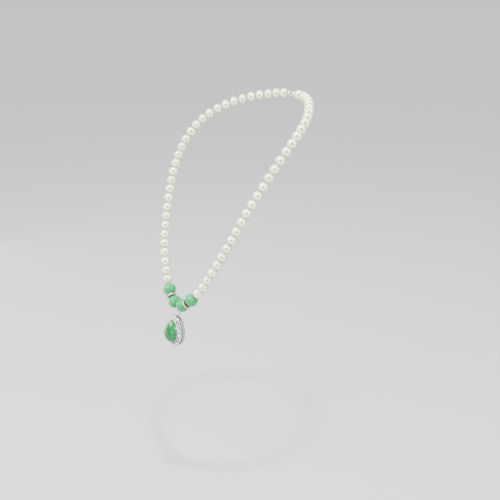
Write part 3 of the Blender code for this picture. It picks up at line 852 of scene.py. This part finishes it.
# %% Pear loops
CAB_HALF_WIDTH = 7.5 * MM
CAB_HALF_HEIGHT = 10.0 * MM
CAB_BASE = 5.4 * MM
CAB_GIRDLE = 6.2 * MM
CAB_DOME = 6.4 * MM
PEAR_TAPER = 0.5
PEAR_WIDEST = 0.864
PEAR_STRETCH = 1.18
HALO_STONES = 18
HALO_OFFSET = 2.0 * MM
HALO_HEIGHT = 4.9 * MM
HALO_SLANT = math.radians(51.0)
STONE_R = 1.5 * MM
PENDANT_ORIGIN = Vector((0.0, -60.8, -152.1)) * MM
pendant_up = Vector((0.0, math.sin(PENDANT_LEAN), math.cos(PENDANT_LEAN)))
pendant_out = Vector((0.0, -math.cos(PENDANT_LEAN), math.sin(PENDANT_LEAN)))
pendant_turn = Matrix((Vector((1.0, 0.0, 0.0)), pendant_up, pendant_out)).transposed()
pendant_place = Matrix.Translation(PENDANT_ORIGIN) @ pendant_turn.to_4x4()


def pear(turn, offset=0.0):
    """A point of the pear outline in the pendant's plane; turn 0 is the tip at the top."""
    taper = abs(math.sin(turn / 2)) ** PEAR_TAPER / PEAR_WIDEST
    across = (CAB_HALF_WIDTH + offset) * math.sin(turn) * taper
    return Vector((across, (CAB_HALF_HEIGHT + offset * PEAR_STRETCH) * math.cos(turn), 0.0))


def even_turns(count, offset=HALO_OFFSET):
    """Turns that lie the same distance apart along the outline, the first at the tip."""
    fine = [math.tau * k / 1440 for k in range(1441)]
    run = [0.0]
    for here, there in zip(fine, fine[1:]):
        run.append(run[-1] + (pear(there, offset) - pear(here, offset)).length)
    turns, k = [], 0
    for number in range(count):
        wanted = run[-1] * number / count
        while run[k + 1] < wanted:
            k += 1
        turns.append(fine[k] + (fine[k + 1] - fine[k]) * (wanted - run[k]) / (run[k + 1] - run[k]))
    return turns


def pear_loop(turns, place):
    """A new bmesh with one closed loop; each point keeps its turn and its place among the stones."""
    bm = bmesh.new()
    turn_layer, stone_layer = bm.verts.layers.float.new("turn"), bm.verts.layers.float.new("stone")
    for k, turn in enumerate(turns):
        vert = bm.verts.new()
        vert[turn_layer], vert[stone_layer] = turn, k * HALO_STONES / len(turns)
        vert.co = place(turn, vert[stone_layer])
    verts = list(bm.verts)
    return bm, [bm.edges.new(pair) for pair in zip(verts, verts[1:] + verts[:1])]


def grow_loop(bm, loop, place):
    """Extrudes a loop of edges and puts each new point where `place` says."""
    turn_layer, stone_layer = bm.verts.layers.float["turn"], bm.verts.layers.float["stone"]
    made = bmesh.ops.extrude_edge_only(bm, edges=loop)["geom"]
    verts = {item for item in made if isinstance(item, bmesh.types.BMVert)}
    for vert in verts:
        vert.co = place(vert[turn_layer], vert[stone_layer])
    return [item for item in made if isinstance(item, bmesh.types.BMEdge) and set(item.verts) <= verts]


halo_turns = even_turns(HALO_STONES)
print("pear", round(2 * CAB_HALF_WIDTH / MM, 1), "by", round(2 * CAB_HALF_HEIGHT / MM, 1), "mm")

# %% [markdown]
# ## The green cabochon
# A cabochon has a flat back, a short upright girdle that the bezel grips, and a domed top. The loop is
# grown up the girdle, then in towards a summit that sits low on the stone, where the pear is widest,
# while it climbs a quarter of an ellipse. The back is closed with a face, and the summit with a small one.

# %% Cabochon
CABOCHON_STEPS = 112
DOME_LEVELS = 22
summit = Vector((0.0, -0.18 * CAB_HALF_HEIGHT, 0.0))


def flat_ring(offset, height):
    return lambda turn, stone: pear(turn, offset) + Vector((0.0, 0.0, height))


def dome_ring(climb):
    size, height = math.cos(climb), CAB_GIRDLE + CAB_DOME * math.sin(climb)
    return lambda turn, stone: summit.lerp(pear(turn), size) + Vector((0.0, 0.0, height))


bm, loop = pear_loop(even_turns(CABOCHON_STEPS, 0.0), flat_ring(-0.25 * MM, CAB_BASE))
bmesh.ops.contextual_create(bm, geom=loop)
for offset, height in ((-0.06, 5.46), (0.0, 5.62), (0.0, 5.9)):
    loop = grow_loop(bm, loop, flat_ring(offset * MM, height * MM))
for level in range(DOME_LEVELS):
    loop = grow_loop(bm, loop, dome_ring(math.pi / 2 * level / DOME_LEVELS))
pole = {vert for edge in loop for vert in edge.verts}
for vert in pole:
    vert.co = summit.lerp(vert.co, 0.45)
    vert.co.z = CAB_GIRDLE + CAB_DOME * 0.999
bmesh.ops.contextual_create(bm, geom=loop)
finish(bm, "cabochon_stone", cabochon_jade, "pendant", ["cabochon"], matrix=pendant_place)
print("the stone is", round((CAB_GIRDLE + CAB_DOME - CAB_BASE) / MM, 1), "mm thick")

# %% [markdown]
# ## The bezel and the halo's seat
# The setting is cast in one piece: a thin upright wall whose rim is rubbed over the stone's edge, an
# inner ledge that the stone rests on, and a flange that slopes down outside it and carries the small
# crystals. All of it below the rim is dark silver, as painted shade. The flange's edge has one lobe for
# each crystal.
# One loop is grown through every point of this cross-section and back to the start, and the last loop
# is merged with the first.

# %% Bezel and scalloped flange
LOBE = 0.22 * MM
RIM_FOOT = 6.2 * MM


def setting_ring(offset, height, lobed):
    def place(turn, stone):
        wave = LOBE * lobed * math.cos(math.tau * stone)
        return pear(turn, offset * MM + wave) + Vector((0.0, 0.0, height * MM - 0.6 * wave))
    return place


setting_section = [
    (0.04, 5.42, 0), (0.04, 6.2, 0), (0.0, 6.55, 0), (0.08, 6.68, 0), (0.24, 6.74, 0), (0.42, 6.70, 0),
    (0.55, 6.56, 0), (0.60, 6.3, 0), (0.62, 5.0, 0), (0.72, 4.72, 0), (1.1, 4.3, 0), (1.6, 3.72, 0.5),
    (2.24, 3.0, 1), (2.42, 2.8, 1), (2.44, 2.62, 1), (2.32, 2.48, 1), (2.1, 2.42, 1), (-0.3, 2.62, 0),
    (-0.62, 2.72, 0), (-0.8, 2.95, 0), (-0.9, 3.4, 0), (-0.9, 4.9, 0), (-0.82, 5.1, 0), (-0.6, 5.18, 0),
    (0.0, 5.2, 0),
]
bm, loop = pear_loop(even_turns(HALO_STONES * 10), setting_ring(*setting_section[0]))
for point in setting_section[1:] + setting_section[:1]:
    loop = grow_loop(bm, loop, setting_ring(*point))
# Faces below the rim's foot get the dark silver of painted shade.
finish(bm, "bezel_and_flange", silver, "pendant", ["setting"], smooth_angle=50,
       matrix=pendant_place, recess=lambda face: face.calc_center_median().z < RIM_FOOT)
print("bezel section has", len(setting_section), "points")

# %% [markdown]
# ## The halo
# Eighteen cut crystals stand on the flange, tilted outwards. Each one sits in a small cup, and two claws
# between each pair of neighbours hold both. The cups, the claws and the stones are each one mesh of
# eighteen or more copies, because they are identical pieces fixed for good.

# %% Places round the halo
def halo_place(turn, out_by=0.0, slide=0.0):
    """A matrix on the sloping flange: X along the outline, Y up the slope, Z out of it."""
    step = 0.01
    ahead = (pear(turn + step, HALO_OFFSET) - pear(turn - step, HALO_OFFSET)).normalized()
    outward = Vector((-ahead.y, ahead.x, 0.0))
    if outward.dot(pear(turn, HALO_OFFSET) - summit) < 0:
        outward.negate()
    lift = outward * math.sin(HALO_SLANT) + Vector((0.0, 0.0, math.cos(HALO_SLANT)))
    slope = Vector((0.0, 0.0, math.sin(HALO_SLANT))) - outward * math.cos(HALO_SLANT)
    along = slope.cross(lift)
    centre = pear(turn, HALO_OFFSET) + Vector((0.0, 0.0, HALO_HEIGHT)) + lift * out_by + slope * slide
    return Matrix.Translation(centre) @ Matrix((along, slope, lift)).transposed().to_4x4()


between_turns = even_turns(2 * HALO_STONES)[1::2]

# %% Crystals, cups and claws
CLAW_R = 0.44 * MM
stones = copies(cut_stone(STONE_R), [halo_place(turn) for turn in halo_turns])
finish(stones, "halo_stones", crystal, "pendant", ["halo_crystals"], smooth_angle=None,
       matrix=pendant_place)

cup_outline = [(0.62, -1.28), (0.98, -1.22), (1.5, -0.32), (1.6, -0.12), (1.56, -0.02), (1.46, -0.05),
               (1.3, -0.42), (0.72, -1.05)]
cup = spin_profile([(radius * MM, height * MM) for radius, height in cup_outline], 20)
finish(copies(cup, [halo_place(turn) for turn in halo_turns]), "halo_cups", silver, "pendant",
       ["setting"], matrix=pendant_place)

claw = spin_profile([(0.0, -1.5 * MM), (CLAW_R, -1.5 * MM), *arc((0.0, 0.12 * MM), CLAW_R, 0, 80, 6),
                     (0.0, 0.12 * MM + CLAW_R)], 12, closed=False)
claw_places = [halo_place(turn, slide=slide * MM) for turn in between_turns for slide in (0.72, -0.72)]
finish(copies(claw, claw_places), "halo_claws", silver, "pendant", ["setting"], smooth_angle=60,
       matrix=pendant_place)
print("halo:", HALO_STONES, "stones and", len(claw_places), "claws")

# %% [markdown]
# Two larger claws lean over the cabochon from the bezel, one at its tip and one at its foot. Each is a
# short turned pin with a round head, tilted inwards.

# %% Tip and foot claws
pin = spin_profile([(0.0, -1.4 * MM), (0.42 * MM, -1.4 * MM), *arc((0.0, 0.5 * MM), 0.42 * MM, 0, 80, 7),
                    (0.0, 0.92 * MM)], 16, closed=False)
pin_places = []
for turn, lean in ((0.0, 32.0), (math.pi, -32.0)):
    point = pear(turn, 0.28 * MM) + Vector((0.0, 0.0, 6.35 * MM))
    pin_places.append(Matrix.Translation(point) @ Matrix.Rotation(math.radians(lean), 4, "X"))
finish(copies(pin, pin_places), "tip_claws", silver, "pendant", ["setting"], smooth_angle=60,
       matrix=pendant_place)
print("2 claws over the stone")

# %% [markdown]
# ## The gallery
# Behind the halo stands an open wall, the gallery, which lifts the stone off the skin and lets light in
# behind it: two rails in dark silver, as painted shade, that follow the pear, joined by bright flat
# posts. The rails are loops grown round a rounded section. Each post is a cube, scaled, bevelled and
# turned to face outwards.

# %% Gallery
GALLERY_OFFSET = 2.2 * MM
GALLERY_TOP_TRIM = 1.6 * MM


def gallery_ring(offset, height):
    """A loop at an offset and height in millimetres, trimmed at the top to leave room for the eyelet."""
    def place(turn, stone):
        point = pear(turn, GALLERY_OFFSET + offset * MM)
        highest = CAB_HALF_HEIGHT + (GALLERY_OFFSET + offset * MM) * PEAR_STRETCH - GALLERY_TOP_TRIM
        return Vector((point.x, min(point.y, highest), height * MM))
    return place


rail_section = [(-0.12, 0.0), (0.0, 0.14), (0.0, 0.42), (-0.12, 0.56), (-0.58, 0.56), (-0.7, 0.42),
                (-0.7, 0.14), (-0.58, 0.0)]
for label, raised in (("back", 0.0), ("front", 1.5)):
    bm, loop = pear_loop(even_turns(128), gallery_ring(rail_section[0][0], rail_section[0][1] + raised))
    for offset, height in rail_section[1:] + rail_section[:1]:
        loop = grow_loop(bm, loop, gallery_ring(offset, height + raised))
    # The rails are dark silver all over, as painted shade.
    finish(bm, "gallery_rail_" + label, painted_shade_silver, "pendant", ["gallery"], smooth_angle=50,
           matrix=pendant_place)

post = bmesh.new()
bmesh.ops.create_cube(post, size=1.0)
bmesh.ops.scale(post, vec=(1.75 * MM, 2.5 * MM, 0.5 * MM), verts=post.verts)
bmesh.ops.bevel(post, geom=post.edges[:], offset=0.12 * MM, offset_type="OFFSET", affect="EDGES",
                segments=2, profile=0.5, material=-1)
post_places = []
for turn in between_turns:
    point = gallery_ring(-0.35, 1.4)(turn, 0.0)
    ahead = gallery_ring(-0.35, 1.4)(turn + 0.05, 0.0) - gallery_ring(-0.35, 1.4)(turn - 0.05, 0.0)
    along, upward = ahead.normalized(), Vector((0.0, 0.0, 1.0))
    facing = Matrix((along, upward, along.cross(upward))).transposed().to_4x4()
    post_places.append(Matrix.Translation(point) @ facing)
finish(copies(post, post_places), "gallery_posts", silver, "pendant", ["gallery"],
       smooth_angle=50, matrix=pendant_place)
print("gallery with", len(post_places), "posts")

# %% [markdown]
# A short lug joins the eyelet to the top of the gallery. It is a bevelled cube between the wire and the
# rail, as wide as the wire is thick.

# %% Eyelet lug
lug = bmesh.new()
bmesh.ops.create_cube(lug, size=1.0)
bmesh.ops.scale(lug, vec=(0.9 * MM, 1.6 * MM, 1.5 * MM), verts=lug.verts)
bmesh.ops.bevel(lug, geom=lug.edges[:], offset=0.2 * MM, offset_type="OFFSET", affect="EDGES", segments=3,
                profile=0.5, material=-1)
eyelet_local = pendant_place.inverted() @ link_point(eyelet_at)
lug_place = Matrix.Translation((0.0, eyelet_local.y - EYELET_R - 0.62 * MM, eyelet_local.z + 0.3 * MM))
finish(lug, "eyelet_lug", silver, "pendant", ["eyelet"], smooth_angle=50,
       matrix=pendant_place @ lug_place)
print("eyelet", [round(v / MM, 2) for v in eyelet_local], "in the pendant's own frame")

# %% [markdown]
# ## The clasp
# Behind the neck the strand ends in two small barrels that magnets hold face to face. Each barrel is a
# turned cup: its open face meets the other half, its closed end has a small bore for the cord, and a
# groove and a rounded bead near the face give the fingers a grip.

# %% Barrels and magnets
BARREL_R = 3.1 * MM
BARREL_WALL = 0.65 * MM
MAGNET_R = 2.1 * MM
length, inside = barrel_length / MM, (BARREL_R - BARREL_WALL) / MM
barrel_outline = [(inside, 0.12), (inside + 0.1, 0.0), (2.85, 0.0), (3.02, 0.06), (3.1, 0.22), (3.1, 0.7),
                  (3.02, 0.82), (2.86, 0.88), (2.82, 1.0), (2.82, 1.12), (2.86, 1.24), (3.02, 1.3),
                  (3.1, 1.42)]
barrel_outline += [(3.1, length - 2.2)] + [(0.9 + 2.2 * math.cos(a), length - 2.2 + 2.0 * math.sin(a))
                                           for a in (math.radians(10 * k) for k in range(1, 8))]
barrel_outline += [(1.45, length - 0.2), (1.42, length - 0.06), (1.3, length), (0.66, length),
                   (0.55, length - 0.1), (0.55, length - BARREL_FLOOR / MM),
                   (inside, length - BARREL_FLOOR / MM)]
magnet_outline = [(0.0, 0.1), (MAGNET_R / MM - 0.2, 0.1), (MAGNET_R / MM, 0.3), (MAGNET_R / MM, 1.9),
                  (MAGNET_R / MM - 0.2, 2.1), (0.0, 2.1)]
barrel_profile = [(radius * MM, height * MM) for radius, height in barrel_outline]
magnet_profile = [(radius * MM, height * MM) for radius, height in magnet_outline]

for side_name, side in SIDES:
    body = "nape_" + side_name
    facing = Vector((side, 0.0, 0.0)).to_track_quat("Z", "Y").to_matrix().to_4x4()
    place = Matrix.Translation((side * CLASP_GAP / 2, clasp_end.y, clasp_end.z)) @ facing
    finish(spin_profile(barrel_profile, 56), "barrel_" + side_name, silver, body,
           ["clasp_barrel_" + side_name], matrix=place)
    finish(spin_profile(magnet_profile, 40, closed=False), "magnet_" + side_name, nickel, body,
           ["clasp_magnet_" + side_name], matrix=place)
print("each barrel is", round(length, 2), "mm long")
